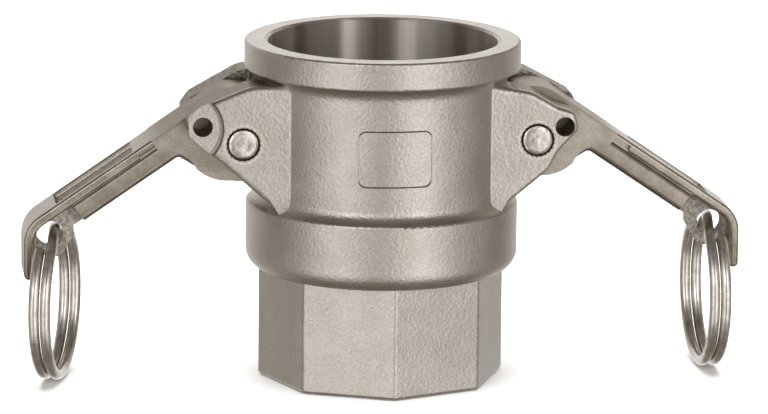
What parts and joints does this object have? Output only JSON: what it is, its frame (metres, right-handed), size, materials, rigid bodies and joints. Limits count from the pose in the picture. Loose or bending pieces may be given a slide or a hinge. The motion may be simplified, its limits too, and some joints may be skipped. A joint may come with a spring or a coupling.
{
  "type": "cam and groove coupler",
  "caption": "Cast stainless cam and groove coupler: threaded octagonal base, gasketed socket and side cam arms with pull rings that lock an adapter in place.",
  "frame": {"origin": "centre of the threaded end face at the bottom, on the flow axis", "axes": "+Z along the flow axis out of the adapter socket, +X through the right arm, -Y towards the viewer of the picture"},
  "size_m": [0.1162, 0.0446, 0.055],
  "materials": {
    "body_casting": "bead blasted investment casting",
    "arm_casting": "tumbled investment casting",
    "pin_steel": "turned",
    "ring_wire": "bright drawn wire",
    "gasket": "moulded nitrile rubber"
  },
  "bodies": {
    "coupler": {"coupler_body": "body_casting", "gasket": "gasket", "left_pivot_pin": "pin_steel", "right_pivot_pin": "pin_steel"},
    "left_arm": {"left_cam_arm": "arm_casting"},
    "right_arm": {"right_cam_arm": "arm_casting"},
    "left_ring": {"left_pull_ring": "ring_wire"},
    "right_ring": {"right_pull_ring": "ring_wire"}
  },
  "joints": [
    {"name": "left_arm_hinge", "type": "hinge", "parent": "coupler", "child": "left_arm", "pos_m": [-0.0236, 0, 0.04035], "axis": [0, -1, 0], "range_deg": [-22, 56]},
    {"name": "right_arm_hinge", "type": "hinge", "parent": "coupler", "child": "right_arm", "pos_m": [0.0236, 0, 0.04035], "axis": [0, 1, 0], "range_deg": [-22, 56]},
    {"name": "left_ring_hinge", "type": "hinge", "parent": "left_arm", "child": "left_ring", "pos_m": [-0.05372, 0, 0.024], "axis": [0, -1, 0], "range_deg": [-56, 22]},
    {"name": "right_ring_hinge", "type": "hinge", "parent": "right_arm", "child": "right_ring", "pos_m": [0.05372, 0, 0.024], "axis": [0, 1, 0], "range_deg": [-56, 22]}
  ],
  "couplings": [
    {"joint": "left_ring_hinge", "follows": "left_arm_hinge", "ratio": -1},
    {"joint": "right_ring_hinge", "follows": "right_arm_hinge", "ratio": -1}
  ]
}
